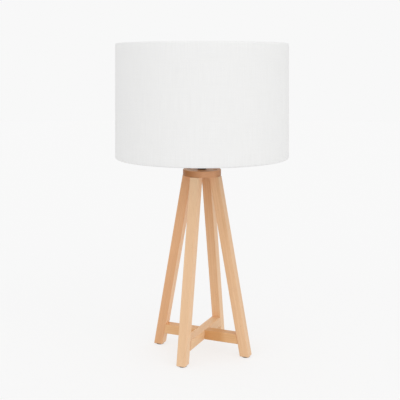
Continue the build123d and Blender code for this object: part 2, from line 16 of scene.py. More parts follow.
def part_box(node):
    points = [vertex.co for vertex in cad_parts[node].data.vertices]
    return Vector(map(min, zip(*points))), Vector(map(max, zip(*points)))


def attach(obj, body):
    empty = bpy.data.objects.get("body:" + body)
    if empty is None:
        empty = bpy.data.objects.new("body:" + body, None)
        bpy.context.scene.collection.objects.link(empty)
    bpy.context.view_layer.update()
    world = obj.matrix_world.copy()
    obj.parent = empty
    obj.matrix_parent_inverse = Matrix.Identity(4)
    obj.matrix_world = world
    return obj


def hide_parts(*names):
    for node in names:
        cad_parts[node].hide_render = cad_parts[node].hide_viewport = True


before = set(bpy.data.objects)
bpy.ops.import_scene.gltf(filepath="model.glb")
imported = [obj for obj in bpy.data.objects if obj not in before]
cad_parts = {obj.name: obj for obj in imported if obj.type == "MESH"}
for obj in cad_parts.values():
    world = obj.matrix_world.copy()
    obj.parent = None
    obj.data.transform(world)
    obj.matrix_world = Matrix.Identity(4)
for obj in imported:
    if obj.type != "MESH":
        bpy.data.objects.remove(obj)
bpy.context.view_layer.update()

MM = 0.001

# %% [markdown]
# ## Camera
#
# The lamp was photographed from just under the height of the shade's top, looking ten degrees down, and about
# a quarter of a right angle round from the front leg. The camera's distance, height and angle were found by
# fitting the legs, rails and shade rims together, so every edge falls where the photograph has it, or within
# a pixel or two. No lens shift is needed.

# %% Camera
photo_pixels = 400
focal_pixels = 765.55
camera_distance = 1.3356
camera_height = 0.5137
camera_side = math.radians(23.04)
camera_dip = math.radians(9.98)
camera_aside = math.radians(0.15)

lens = bpy.data.cameras.new("camera")
lens.sensor_width = 36.0
lens.lens = focal_pixels / photo_pixels * lens.sensor_width
camera = bpy.data.objects.new("camera", lens)
camera.location = (camera_distance * math.sin(camera_side), -camera_distance * math.cos(camera_side),
                   camera_height)
camera.rotation_euler = (math.radians(90) - camera_dip, 0.0, camera_side + camera_aside)
bpy.context.scene.collection.objects.link(camera)
bpy.context.scene.camera = camera
print("lens in mm:", round(lens.lens, 2))

# %% [markdown]
# ## Light
#
# The photograph is a catalogue picture: a nearly white sweep, a big soft light to the right, a wider one
# low in front and a bright room all round. Suns with a wide disc light the whole floor evenly, which a nearby
# lamp would not. The background has its own tone, which only the camera sees, so the room can be as bright as
# the lamp needs.

# %% Light and background
background_tone = 0.9387
sky_strength = 0.78
suns = {
    "key": {"side": 62.0, "height": 30.0, "width": 60.0, "strength": 0.44},
    "front": {"side": -5.0, "height": 12.0, "width": 90.0, "strength": 0.38},
}

scene = bpy.context.scene
scene.view_settings.view_transform = "Standard"
world = bpy.data.worlds.new("studio")
world.use_nodes = True
scene.world = world
sky = world.node_tree.nodes["Background"]
sky.inputs["Color"].default_value = (1.0, 1.0, 1.0, 1.0)
rays = world.node_tree.nodes.new("ShaderNodeLightPath")
strength = world.node_tree.nodes.new("ShaderNodeMapRange")
strength.inputs["To Min"].default_value = sky_strength
strength.inputs["To Max"].default_value = background_tone
world.node_tree.links.new(rays.outputs["Is Camera Ray"], strength.inputs["Value"])
world.node_tree.links.new(strength.outputs["Result"], sky.inputs["Strength"])

for name, sun in suns.items():
    light = bpy.data.lights.new(name, "SUN")
    light.energy = sun["strength"]
    light.angle = math.radians(sun["width"])
    lamp = bpy.data.objects.new(name, light)
    lamp.rotation_euler = (math.radians(90 - sun["height"]), 0.0, math.radians(sun["side"]))
    scene.collection.objects.link(lamp)
print("suns:", len(suns))

# %% [markdown]
# ## Finishes
#
# Every finish below is a Principled shader with its own pattern. Small helpers keep the node trees readable:
# they add a node and fill its sockets by name, do arithmetic on sockets, and mix or stretch them. Patterns
# read Object coordinates in metres, so a scale of 500 means features of about two millimetres.

# %% Helpers for finishes


def finish(name, colour, roughness, **constants):
    """A new material whose constant values stand directly on the shader's sockets."""
    material = bpy.data.materials.new(name)
    material.use_nodes = True
    shader = material.node_tree.nodes["Principled BSDF"]
    shader.inputs["Base Color"].default_value = (*colour, 1.0)
    shader.inputs["Roughness"].default_value = roughness
    for label, value in constants.items():
        shader.inputs[label.replace("_", " ")].default_value = value
    return material


def fill(material, socket, value):
    """Set a socket, or join it to another node's output."""
    if isinstance(value, bpy.types.NodeSocket):
        material.node_tree.links.new(value, socket)
    else:
        socket.default_value = value


def add(material, kind, **inputs):
    """Add a shader node and fill its sockets by name."""
    made = material.node_tree.nodes.new("ShaderNode" + kind)
    for label, value in inputs.items():
        fill(material, made.inputs[label.replace("_", " ")], value)
    return made


def calc(material, operation, *values):
    """Arithmetic on sockets and numbers."""
    made = material.node_tree.nodes.new("ShaderNodeMath")
    made.operation = operation
    for socket, value in zip(made.inputs, values):
        fill(material, socket, value)
    return made.outputs["Value"]


def mix(material, share, first, second):
    """Mix two colours, each a tuple or a socket."""
    made = material.node_tree.nodes.new("ShaderNodeMix")
    made.data_type = "RGBA"
    by_name = {socket.identifier: socket for socket in made.inputs}
    fill(material, by_name["Factor_Float"], share)
    for label, value in (("A_Color", first), ("B_Color", second)):
        fill(material, by_name[label], (*value, 1.0) if isinstance(value, tuple) else value)
    return made.outputs[2]


def spread(material, value, low, high, to_low=0.0, to_high=1.0):
    """Stretch a socket's range, clamped at both ends."""
    made = add(material, "MapRange", Value=value, From_Min=low, From_Max=high, To_Min=to_low, To_Max=to_high)
    return made.outputs["Result"]


def object_place(material):
    """The point in metres, in the lamp's own frame."""
    return add(material, "TexCoord").outputs["Object"]


def coat(material, colour=None, roughness=None, relief=None, depth=0.1 * MM):
    """Join a colour, a roughness and a height pattern to the shader."""
    shader = material.node_tree.nodes["Principled BSDF"]
    if colour is not None:
        fill(material, shader.inputs["Base Color"], colour)
    if roughness is not None:
        fill(material, shader.inputs["Roughness"], roughness)
    if relief is not None:
        bump = add(material, "Bump", Height=relief, Distance=depth, Strength=1.0)
        fill(material, shader.inputs["Normal"], bump.outputs["Normal"])
    return material


def shaded(colour, share):
    """A colour made darker or lighter by one share."""
    return tuple(share * part for part in colour)


def dress(node, material):
    """Put a finish on a solid of the frame that is kept as it is."""
    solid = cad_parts[node]
    solid.data.materials.clear()
    solid.data.materials.append(material)


# %% [markdown]
# ## Beech
#
# Wood is a solid pattern, not a skin. Growth rings are cylinders around a pith that lies somewhere beside the
# piece, and everything in the wood is long in one direction. So the pattern is built in a space that is
# turned until its Z runs along the grain, and squeezed along Z. A face cut along the grain then shows lines,
# and a face cut across it shows arcs, as real timber does. Beech adds short dark ray flecks, and end grain
# soaks up the lacquer and goes dark. On top of that, faces that don't look along Y are painted paler, painted
# light from the side and above, and a red-brown band of painted shade may cross a board. The direction that a
# face looks in tells these apart.

# %% Beech
ring_pitch = 2.4 * MM
wave_period = 2 * math.pi / 20
# Painted light: the colour that faces turned to the side and up are painted towards
painted_side_light = (1.0, 0.70, 0.45)
# Painted shade: the colour of a red-brown band across a board, where it lies along the grain, and how it
# fades
painted_shade_red = (0.66, 0.32, 0.11)
painted_shade_middle = 32.0 * MM
painted_shade_core = 13.0 * MM
painted_shade_edge = 24.0 * MM
painted_shade_wander = 10.0 * MM


def beech(name, along, through, pith, light, dark, end=None, side_light=0.0, painted_shade_band=0.0, lacquer=0.12):
    """Beech with its grain along a direction. The pith runs this far beside a point in the piece.

    The faces that don't look along Y are painted paler by a share, painted light from the side and above, and
    a red-brown band of painted shade may cross the board."""
    material = finish(name, light, 0.42, Coat_Weight=lacquer, Coat_Roughness=0.22, Specular_IOR_Level=0.35)
    turn = Vector(along).rotation_difference(Vector((0, 0, 1)))
    centre = turn @ Vector(through)
    shift = Vector((pith[0], pith[1], 0.0)) - centre
    place = add(material, "Mapping", Vector=object_place(material), Rotation=turn.to_euler(), Location=shift)

    def drawn_out(share):
        squeezed = add(material, "Mapping", Vector=place.outputs["Vector"], Scale=(1.0, 1.0, share))
        return squeezed.outputs["Vector"]

    rings = add(material, "TexWave", Vector=drawn_out(0.045), Scale=wave_period / ring_pitch, Distortion=5.0,
                Detail=2.0, Detail_Scale=0.12, Detail_Roughness=0.55)
    rings.wave_type = "RINGS"
    rings.rings_direction = "Z"
    rings.wave_profile = "SAW"
    fibre = add(material, "TexNoise", Vector=drawn_out(0.025), Scale=1300.0, Detail=3.0, Roughness=0.65)
    board = add(material, "TexNoise", Vector=drawn_out(0.12), Scale=38.0, Detail=1.0, Roughness=0.4)
    cells = add(material, "TexVoronoi", Vector=drawn_out(0.3), Scale=820.0, Randomness=1.0)
    patchy = add(material, "TexNoise", Vector=drawn_out(0.35), Scale=240.0, Detail=1.0)
    fleck_size = spread(material, patchy.outputs["Fac"], 0.45, 0.72, 0.02, 0.3)
    fleck = calc(material, "LESS_THAN", cells.outputs["Distance"], fleck_size)

    tone = calc(material, "MULTIPLY", rings.outputs["Fac"], 0.25)
    tone = calc(material, "ADD", tone, spread(material, fibre.outputs["Fac"], 0.3, 0.7, 0.0, 0.3))
    tone = calc(material, "ADD", tone, spread(material, board.outputs["Fac"], 0.25, 0.75, 0.0, 0.45))
    wood = mix(material, tone, light, dark)
    # Painted shade: a red-brown band across the board at a set distance along the grain, with wavering edges
    if painted_shade_band:
        run = add(material, "SeparateXYZ", Vector=place.outputs["Vector"]).outputs["Z"]
        wander = calc(material, "MULTIPLY", board.outputs["Fac"], painted_shade_wander)
        aside = calc(material, "SUBTRACT", calc(material, "ADD", run, wander), painted_shade_middle)
        streak = spread(material, calc(material, "ABSOLUTE", aside), painted_shade_core, painted_shade_edge, painted_shade_band, 0.0)
        wood = mix(material, streak, wood, painted_shade_red)
    # Painted light: faces that don't look along Y are mixed towards a paler colour by a share
    facing = add(material, "TexCoord").outputs["Normal"]
    level = calc(material, "ABSOLUTE", add(material, "SeparateXYZ", Vector=facing).outputs["Y"])
    wood = mix(material, spread(material, level, 0.2, 0.9, side_light, 0.0), wood, painted_side_light)
    turned_facing = add(material, "Mapping", Vector=facing, Rotation=turn.to_euler()).outputs["Vector"]
    with_grain = add(material, "SeparateXYZ", Vector=turned_facing).outputs["Z"]
    end_grain = spread(material, calc(material, "ABSOLUTE", with_grain), 0.3, 0.97)
    wood = mix(material, end_grain, wood, end or shaded(dark, 0.9))
    flecked = mix(material, calc(material, "MULTIPLY", fleck, 0.3), wood, shaded(dark, 0.72))
    relief = calc(material, "SUBTRACT", fibre.outputs["Fac"], calc(material, "MULTIPLY", fleck, 0.25))
    roughness = spread(material, fibre.outputs["Fac"], 0.3, 0.7, 0.38, 0.5)
    return coat(material, flecked, roughness, relief, 0.06 * MM)


# %% [markdown]
# ### One board for each leg
#
# The four legs were sawn from different boards, so each has its own pith and its own tone. In the photograph
# the front leg is the palest, and the left leg is the warmest, with its faces that look along X painted much
# paler, painted light. The lower rail has a red-brown band of painted shade right of the crossing, and the
# disc's grain is turned so that its dark end grain falls at the left and a little at the right, painted
# shade.

# %% Wood for the frame
frame_height = 323.0 * MM
leg_top_reach = 34.0 * MM
leg_foot_reach = 94.3 * MM
leg_axis_at_floor = 85.653 * MM
leg_lean = (leg_foot_reach - leg_top_reach) / frame_height
leg_middle = frame_height / 2
leg_axis_reach = leg_axis_at_floor - leg_lean * leg_middle
# Each leg's share of painted light: how much paler its faces that don't look along Y are painted
leg_looks = {
    "front": {"out": (0, -1), "pith": (0.031, 0.020), "side_light": 0.4,
              "light": (0.98, 0.69, 0.44), "dark": (0.77, 0.455, 0.24)},
    "right": {"out": (1, 0), "pith": (-0.012, 0.036), "side_light": 0.2,
              "light": (0.95, 0.635, 0.385), "dark": (0.715, 0.41, 0.205)},
    "back": {"out": (0, 1), "pith": (0.022, -0.026), "side_light": 0.5,
             "light": (0.96, 0.66, 0.405), "dark": (0.72, 0.42, 0.21)},
    "left": {"out": (-1, 0), "pith": (-0.034, -0.014), "side_light": 0.9,
             "light": (0.905, 0.535, 0.295), "dark": (0.68, 0.35, 0.16)},
}
for name, look in leg_looks.items():
    x, y = look["out"]
    up_leg = (-x * leg_lean, -y * leg_lean, 1.0)
    middle = (x * leg_axis_reach, y * leg_axis_reach, leg_middle)
    board = beech(f"beech_leg_{name}", up_leg, middle, look["pith"], look["light"], look["dark"],
                  side_light=look["side_light"])
    dress(f"leg_{name}", board)

rail_middle = 32.75 * MM
rail_end = (0.84, 0.52, 0.28)
# The lower rail gets a band of painted shade right of the crossing, and the upper rail's faces that don't
# look along Y are painted paler, painted light.
lower_board = beech("beech_rail_lower", (1, 0, 0), (0, 0, rail_middle), (0.02, 0.03),
                    (0.93, 0.585, 0.315), (0.69, 0.375, 0.155), end=rail_end, painted_shade_band=0.75)
upper_board = beech("beech_rail_upper", (0, 1, 0), (0, 0, rail_middle), (0.034, -0.012),
                    (0.95, 0.62, 0.35), (0.71, 0.41, 0.19), end=rail_end, side_light=0.35)
dress("rail_lower", lower_board)
dress("rail_upper", upper_board)

disc_middle = 328.5 * MM
# Painted shade: the grain is turned so that the very dark end grain falls on the disc's left side and a
# little on its right, where the disc turns away from the light.
disc_wood = beech("beech_disc", (0.72, 0.69, 0.0), (0, 0, disc_middle), (0.05, 0.012),
                  (0.89, 0.455, 0.24), (0.67, 0.325, 0.155), end=(0.42, 0.15, 0.03))
dress("top_disc", disc_wood)
print("boards:", len(leg_looks) + 3)

# %% [markdown]
# ## Helpers for pieces
#
# Most of a lampholder, a bulb and a shade is turned work. One vertical outline is drawn beside the axis, its
# corners are rounded by a vertex bevel, and a spin sweeps it round. Drawing the outline costs a few points,
# and the spin keeps every ring exactly round, which no hand-placed ring would be. A wall that gets a thread
# or flutes is drawn with extra rows of points, and the pattern is then pressed into it by a formula.

# %% Helpers for pieces


def heights(node):
    """The lowest and the greatest height of a solid."""
    low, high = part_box(node)
    return low[2], high[2]


def radius_of(node):
    """The outer radius of a solid turned about the lamp's axis."""
    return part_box(node)[1][0]


def upright(radius, start, end, rows):
    """Points along an upright wall, one for each row that a pattern needs."""
    return [(radius, start + (end - start) * row / rows) for row in range(rows + 1)]


def turned(outline, steps=96, segments=4):
    """Spin an outline about the axis. A point is a radius, a height and, for a rounded corner, its size."""
    bm = bmesh.new()
    points = [bm.verts.new((point[0], 0.0, point[1])) for point in outline]
    pairs = list(zip(points, points[1:]))
    if min(outline[0][0], outline[-1][0]) > 0:
        pairs.append((points[-1], points[0]))
    for first, second in pairs:
        bm.edges.new((first, second))
    for vert, point in zip(points, outline):
        if len(point) > 2:
            bmesh.ops.bevel(bm, geom=[vert], offset=point[2], offset_type="OFFSET", segments=segments,
                            profile=0.5, affect="VERTICES", material=-1)
    bmesh.ops.spin(bm, geom=bm.verts[:] + bm.edges[:], cent=(0, 0, 0), axis=(0, 0, 1), angle=2 * math.pi,
                   steps=steps, use_merge=True)
    bmesh.ops.remove_doubles(bm, verts=bm.verts, dist=1e-7)
    bmesh.ops.recalc_face_normals(bm, faces=bm.faces)
    return bm


def fading(height, low, high, run_out):
    """One inside a patterned wall, falling to nought over the run-out at both of its ends."""
    return max(0.0, min(1.0, (height - low) / run_out, (high - height) / run_out))


def press(bm, low, high, inner, outer, depth):
    """Push in the wall between two heights and two radii by a depth that follows angle and height."""
    for vert in bm.verts:
        radius = vert.co.xy.length
        if low - 1e-6 < vert.co.z < high + 1e-6 and inner < radius < outer:
            share = 1.0 - depth(math.atan2(vert.co.y, vert.co.x), vert.co.z) / radius
            vert.co.x *= share
            vert.co.y *= share


def thread_wave(pitch, angle, height):
    """A right-handed thread: one on its crest and nought in its root."""
    return 0.5 + 0.5 * math.cos(2 * math.pi * height / pitch - angle)


def thread_press(depth, pitch, low, high, run_out):
    """The depth of a thread that is pressed in between its crests and fades out at both ends."""
    def deep(angle, height):
        return depth * (1.0 - thread_wave(pitch, angle, height)) * fading(height, low, high, run_out)

    return deep


def groove_wave(count, width, angle):
    """Upright round grooves, evenly spaced: one in the middle of a groove and nought between them."""
    spacing = 2 * math.pi / count
    aside = abs((angle + spacing / 2) % spacing - spacing / 2) / (width / 2)
    return math.sqrt(max(0.0, 1.0 - aside * aside))


def carve(bm, cutter, operation="DIFFERENCE"):
    """Cut one shape with another by an exact Boolean, and give back the result."""
    holders = []
    for shape in (bm, cutter):
        mesh = bpy.data.meshes.new("carving")
        shape.to_mesh(mesh)
        shape.free()
        holders.append(bpy.data.objects.new("carving", mesh))
        scene.collection.objects.link(holders[-1])
    cut = holders[0].modifiers.new("cut", "BOOLEAN")
    cut.operation = operation
    cut.object = holders[1]
    cut.solver = "EXACT"
    evaluated = holders[0].evaluated_get(bpy.context.evaluated_depsgraph_get())
    result = bmesh.new()
    result.from_mesh(evaluated.to_mesh())
    evaluated.to_mesh_clear()
    for holder in holders:
        bpy.data.meshes.remove(holder.data)
    bmesh.ops.remove_doubles(result, verts=result.verts, dist=1e-7)
    return result


def piece(name, bm, material, body, stands_for=(), crease=38.0, closed=True):
    """Make a piece of the lamp from a bmesh. It moves with a body and can stand for solids of the frame."""
    if closed:
        bmesh.ops.recalc_face_normals(bm, faces=bm.faces)
    mesh = bpy.data.meshes.new(name)
    bm.to_mesh(mesh)
    bm.free()
    mesh.shade_smooth()
    mesh.set_sharp_from_angle(angle=math.radians(crease))
    mesh.materials.append(material)
    made = bpy.data.objects.new(name, mesh)
    scene.collection.objects.link(made)
    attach(made, body)
    if stands_for:
        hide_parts(*stands_for)
    print(name, "faces:", len(mesh.polygons))
    return made


# %% [markdown]
# ## Finishes for metal, plastic, glass and ceramic
#
# These parts are small, so their patterns are fine. Turned metal keeps rings round the axis where the tool
# passed, moulded plastic has a spark-eroded grain, and a powder coat has the shallow dimples of paint that
# flowed as it melted. Two short functions make nearly all of them, and each finish is one call.

# %% Finishes for the small parts


def grain_of(material, scale, detail=2.0):
    """Even noise over the piece."""
    return add(material, "TexNoise", Vector=object_place(material), Scale=scale, Detail=detail).outputs["Fac"]


def grained(name, colour, roughness, scale, relief, tone=0.12, **constants):
    """A moulded or coated surface: fine grain in colour, gloss and relief."""
    material = finish(name, colour, roughness, **constants)
    fine = grain_of(material, scale, 3.0)
    broad = grain_of(material, scale / 25)
    colours = mix(material, spread(material, broad, 0.35, 0.65), shaded(colour, 1 - tone), colour)
    rough = spread(material, fine, 0.3, 0.7, roughness - 0.07, roughness + 0.07)
    return coat(material, colours, rough, fine, relief)


def lathed(name, colour, roughness, ring_spacing=0.18 * MM, tone=0.25, **constants):
    """Metal turned or plated: faint tool rings round the axis, and clouding from handling."""
    material = finish(name, colour, roughness, Metallic=1.0, **constants)
    place = add(material, "SeparateXYZ", Vector=object_place(material))
    squares = [calc(material, "POWER", place.outputs[axis], 2.0) for axis in "XY"]
    reach = calc(material, "SQRT", calc(material, "ADD", *squares))
    along = calc(material, "ADD", reach, place.outputs["Z"])
    tool = material.node_tree.nodes.new("ShaderNodeTexNoise")
    tool.noise_dimensions = "1D"
    for label, value in {"W": along, "Scale": 1.0 / ring_spacing, "Detail": 3.0, "Roughness": 0.6}.items():
        fill(material, tool.inputs[label], value)
    cloud = grain_of(material, 260.0, 4.0)
    colours = mix(material, spread(material, cloud, 0.35, 0.7), shaded(colour, 1 - tone), colour)
    wear = calc(material, "ADD", tool.outputs["Fac"], cloud)
    rough = spread(material, wear, 0.7, 1.3, roughness - 0.08, roughness + 0.12)
    return coat(material, colours, rough, tool.outputs["Fac"], 0.02 * MM)


black_plastic = grained("holder_black_plastic", (0.022, 0.021, 0.02), 0.42, 2600.0, 0.03 * MM, 0.3)
white_housing = grained("bulb_white_housing", (0.78, 0.78, 0.77), 0.38, 1800.0, 0.012 * MM, 0.05)
white_powder = grained("carrier_powder_coat", (0.74, 0.74, 0.73), 0.4, 950.0, 0.05 * MM, 0.06,
                       Coat_Weight=0.2)
pad_rubber = grained("foot_rubber", (0.035, 0.033, 0.031), 0.82, 1500.0, 0.08 * MM, 0.35)
bush_nylon = grained("bush_black_nylon", (0.045, 0.045, 0.047), 0.46, 1400.0, 0.015 * MM, 0.25)
glazed_ceramic = grained("glazed_ceramic", (0.76, 0.74, 0.69), 0.16, 420.0, 0.03 * MM, 0.07,
                         Coat_Weight=0.6)
black_glass = grained("bulb_black_enamel", (0.012, 0.012, 0.014), 0.14, 500.0, 0.02 * MM, 0.3,
                      Coat_Weight=0.5)
zinc_plate = lathed("zinc_plate", (0.62, 0.63, 0.62), 0.34)
shell_brass = lathed("shell_brass", (0.80, 0.60, 0.30), 0.28)
contact_brass = lathed("contact_brass_sheet", (0.76, 0.56, 0.27), 0.3, 0.3 * MM)
cap_nickel = lathed("bulb_nickel_plate", (0.70, 0.69, 0.66), 0.24)
tip_solder = grained("bulb_tip_solder", (0.56, 0.56, 0.55), 0.36, 700.0, 0.12 * MM, 0.3, Metallic=1.0)
print("materials:", len(bpy.data.materials))

# %% [markdown]
# ## The lampholder's cap
#
# The black cap begins as a narrow neck on the disc, the only bit of the lampholder that shows in the
# photograph. It swells into the cup that houses the contacts. The outline follows the solid's heights, and
# the inside is a plain bore with a ledge, on which the ceramic block rests.

# %% Lampholder cap
screw_gap = 0.05 * MM
tube_radius = radius_of("threaded_tube")
neck_radius = 7.5 * MM
neck_height = 6.5 * MM
shoulder_height = 15.0 * MM
cap_swell = 3.0 * MM
cap_wall = 2.5 * MM
cap_bore = 16.1 * MM
ledge_width = 1.5 * MM
spigot_height = 5.0 * MM
spigot_radius = 17.45 * MM

cap_low, cap_high = heights("holder_cap")
cap_radius = radius_of("holder_cap")
spigot_foot = cap_high - spigot_height
ledge = heights("contact_block")[0]
cap_shape = turned([
    (tube_radius + screw_gap, cap_low),
    (neck_radius, cap_low, 0.4 * MM),
    (neck_radius, cap_low + neck_height, 1.6 * MM),
    (cap_radius - cap_swell, cap_low + shoulder_height - cap_swell, 1.6 * MM),
    (cap_radius, cap_low + shoulder_height, 1.6 * MM),
    (cap_radius, spigot_foot, 0.4 * MM),
    (spigot_radius, spigot_foot),
    (spigot_radius, cap_high, 0.3 * MM),
    (cap_bore, cap_high, 0.2 * MM),
    (cap_bore, ledge),
    (cap_bore - ledge_width, ledge, 0.3 * MM),
    (neck_radius, cap_low + neck_height + cap_wall, 1.0 * MM),
    (tube_radius + screw_gap, cap_low + neck_height + cap_wall),
], steps=128, segments=6)
piece("lampholder_cap", cap_shape, black_plastic, "base", ["holder_cap"])

# %% [markdown]
# ## The skirt
#
# The skirt screws over the cap. Twenty-four grip flutes run up its barrel, a shoulder carries the shade, and
# the collar above has a coarse thread for the ring nut. Flutes and thread are pressed into walls that were
# drawn with rows of points: the flutes by angle alone, the thread by angle and height together.

# %% Lampholder skirt
barrel_radius = 20.0 * MM
shoulder_radius = 23.5 * MM
shoulder_thickness = 3.0 * MM
collar_radius = 19.8 * MM
collar_height = 18.0 * MM
skirt_bore = 17.5 * MM
lip_bore = 15.0 * MM
lip_height = 3.0 * MM
flute_count = 24
flute_width = 2.0 * MM / barrel_radius
flute_depth = 0.6 * MM
collar_pitch = 2.5 * MM
collar_thread_depth = 0.7 * MM
run_out = 0.7 * MM
flute_rows = 24
collar_rows = 64

barrel_foot, holder_rim = heights("holder_skirt")
holder_shoulder = holder_rim - collar_height
barrel_top = holder_shoulder - shoulder_thickness
flute_low, flute_high = barrel_foot + 0.8 * MM, barrel_top - 1.0 * MM
collar_low, collar_high = holder_shoulder + 1.0 * MM, holder_rim - 1.0 * MM
skirt_shape = turned([
    (skirt_bore, barrel_foot),
    (barrel_radius, barrel_foot, 0.4 * MM),
    *upright(barrel_radius, flute_low, flute_high, flute_rows),
    (barrel_radius, barrel_top),
    (shoulder_radius, barrel_top, 0.5 * MM),
    (shoulder_radius, holder_shoulder, 0.4 * MM),
    (collar_radius, holder_shoulder),
    *upright(collar_radius, collar_low, collar_high, collar_rows),
    (collar_radius, holder_rim, 0.6 * MM),
    (lip_bore, holder_rim, 0.6 * MM),
    (lip_bore, holder_rim - lip_height, 0.4 * MM),
    (skirt_bore, holder_rim - lip_height),
], steps=192)


def flute_press(angle, height):
    """The barrel's flutes."""
    groove = groove_wave(flute_count, flute_width, angle)
    return flute_depth * groove * fading(height, flute_low, flute_high, run_out)


press(skirt_shape, flute_low, flute_high, skirt_bore + MM, shoulder_radius, flute_press)
press(skirt_shape, collar_low, collar_high, skirt_bore + MM, shoulder_radius,
      thread_press(collar_thread_depth, collar_pitch, collar_low, collar_high, run_out))
piece("lampholder_skirt", skirt_shape, black_plastic, "base", ["holder_skirt"])

# %% [markdown]
# ## The ring nut
#
# A flange presses the shade's carrier onto the shoulder, and fingers turn the hub by its eighteen notches.
# The notches are the same pressed grooves as the flutes, wider and deeper, and they run right up through the
# hub's top edge.

# %% Ring nut
ring_bore = 19.9 * MM
hub_radius = 23.0 * MM
flange_thickness = 2.2 * MM
notch_count = 18
notch_width = 2.8 * MM / hub_radius
notch_depth = 1.3 * MM
notch_rows = 6

ring_low, ring_high = heights("shade_ring")
flange_radius = radius_of("shade_ring")
flange_top = ring_low + flange_thickness
ring_shape = turned([
    (ring_bore, ring_low, 0.3 * MM),
    (flange_radius, ring_low, 0.6 * MM),
    (flange_radius, flange_top, 0.6 * MM),
    (hub_radius, flange_top),
    *upright(hub_radius, flange_top + 0.1 * MM, ring_high - 0.8 * MM, notch_rows),
    (hub_radius, ring_high, 0.5 * MM),
    (ring_bore, ring_high, 0.6 * MM),
], steps=216)


def notch_press(angle, height):
    """The hub's finger notches."""
    return notch_depth * groove_wave(notch_count, notch_width, angle)


press(ring_shape, flange_top + 0.05 * MM, ring_high, hub_radius - 0.6 * MM, hub_radius + 0.1 * MM,
      notch_press)
piece("ring_nut", ring_shape, black_plastic, "ring_nut", ["shade_ring"])

# %% [markdown]
# ## Screw shell and bulb cap
#
# The shell in the holder and the cap on the bulb carry the same rolled thread, a smooth wave in section that
# climbs 3.63 millimetres a turn. Both read one formula, so they stay apart by the same small space all the
# way as the bulb unscrews and rises. Where the thread fades out, the shell keeps to its widest radius and
# the cap to its narrowest, which is how the real ones let each other pass.

# %% Screw shell
lamp_pitch = 3.629 * MM
lamp_thread_depth = 0.9 * MM
lamp_run_out = 1.2 * MM
shell_wall = 0.5 * MM
shell_root = 13.45 * MM
shell_lip = 6.5 * MM
lamp_thread_rows = 64

shell_low, shell_high = heights("screw_shell")
shell_thread_low, shell_thread_high = shell_low + 1.6 * MM, shell_high - 0.6 * MM
shell_shape = turned([
    (shell_lip, shell_low, 0.1 * MM),
    (shell_root + shell_wall, shell_low, 0.9 * MM),
    *upright(shell_root + shell_wall, shell_thread_low, shell_thread_high, lamp_thread_rows),
    (shell_root + shell_wall, shell_high, 0.1 * MM),
    (shell_root, shell_high, 0.1 * MM),
    *upright(shell_root, shell_thread_high, shell_thread_low, lamp_thread_rows),
    (shell_root, shell_low + shell_wall, 0.5 * MM),
    (shell_lip, shell_low + shell_wall, 0.1 * MM),
])
press(shell_shape, shell_thread_low, shell_thread_high, shell_root - MM, shell_root + MM,
      thread_press(lamp_thread_depth, lamp_pitch, shell_thread_low, shell_thread_high, lamp_run_out))
piece("brass_screw_shell", shell_shape, shell_brass, "base", ["screw_shell"])

# %% Bulb cap
cap_crest = 13.1 * MM
cap_root = cap_crest - lamp_thread_depth
cap_sheet = 0.3 * MM

bulb_cap_low, bulb_cap_high = heights("bulb_cap")
bulb_flange = radius_of("bulb_cap")
cap_thread_low, cap_thread_high = bulb_cap_low + 1.0 * MM, bulb_cap_high - 4.4 * MM
bulb_cap_shape = turned([
    (cap_root - 1.0 * MM, bulb_cap_low, 0.2 * MM),
    (cap_root - 0.4 * MM, bulb_cap_low, 0.3 * MM),
    (cap_root, bulb_cap_low + 0.7 * MM),
    *upright(cap_root, cap_thread_low, cap_thread_high, lamp_thread_rows),
    (cap_root, cap_thread_high + 0.4 * MM, 0.3 * MM),
    (cap_crest, cap_thread_high + 1.5 * MM, 0.5 * MM),
    (cap_crest, bulb_cap_high - 1.0 * MM, 0.4 * MM),
    (bulb_flange, bulb_cap_high - 0.4 * MM, 0.15 * MM),
    (bulb_flange, bulb_cap_high),
    (cap_root - cap_sheet, bulb_cap_high),
    (cap_root - cap_sheet, bulb_cap_low + 1.0 * MM),
    (cap_root - 1.0 * MM, bulb_cap_low + 0.3 * MM),
])


def cap_press(angle, height):
    """The cap's thread stands out from its root, so its depth counts the other way."""
    return -(lamp_thread_depth * thread_wave(lamp_pitch, angle, height)
             * fading(height, cap_thread_low, cap_thread_high, lamp_run_out))


press(bulb_cap_shape, cap_thread_low, cap_thread_high, cap_root - 0.1 * MM, cap_crest, cap_press)
piece("bulb_screw_cap", bulb_cap_shape, cap_nickel, "bulb", ["bulb_cap"])

# %% [markdown]
# ## The bulb
#
# Below the cap a ring of black enamel glass holds the soldered tip. Above it a white housing flares out to
# meet an opal globe. The globe's outline is two true arcs, one for each face of the glass, because light
# sinks a little way into opal glass and a single skin would look like paint.

# %% Bulb tip and enamel
tip_low, tip_high = heights("bulb_contact")
tip_radius = radius_of("bulb_contact")
tip_shape = turned([
    (0.0, tip_low),
    (tip_radius * 0.6, tip_low + 0.1 * MM, 0.8 * MM),
    (tip_radius, tip_low + 0.9 * MM, 0.35 * MM),
    (tip_radius, tip_high),
    (0.0, tip_high),
], steps=48)
piece("bulb_solder_tip", tip_shape, tip_solder, "bulb_tip", ["bulb_contact"])

enamel_low, enamel_high = heights("bulb_insulator")
enamel_shape = turned([
    (0.0, enamel_low),
    (tip_radius + 0.4 * MM, enamel_low, 0.1 * MM),
    (tip_radius + 2.0 * MM, enamel_low + 0.5 * MM, 0.6 * MM),
    (cap_root - 1.1 * MM, enamel_high - 0.3 * MM, 0.4 * MM),
    (cap_root - 1.1 * MM, enamel_high),
    (0.0, enamel_high),
], steps=72)
piece("bulb_enamel", enamel_shape, black_glass, "bulb", ["bulb_insulator"])

# %% Bulb housing and globe
bulb_neck_radius = 14.5 * MM
bulb_collar_height = 3.0 * MM
flare_power = 1.35
flare_rows = 16
glass_wall = 1.5 * MM
joint_gap = 0.05 * MM

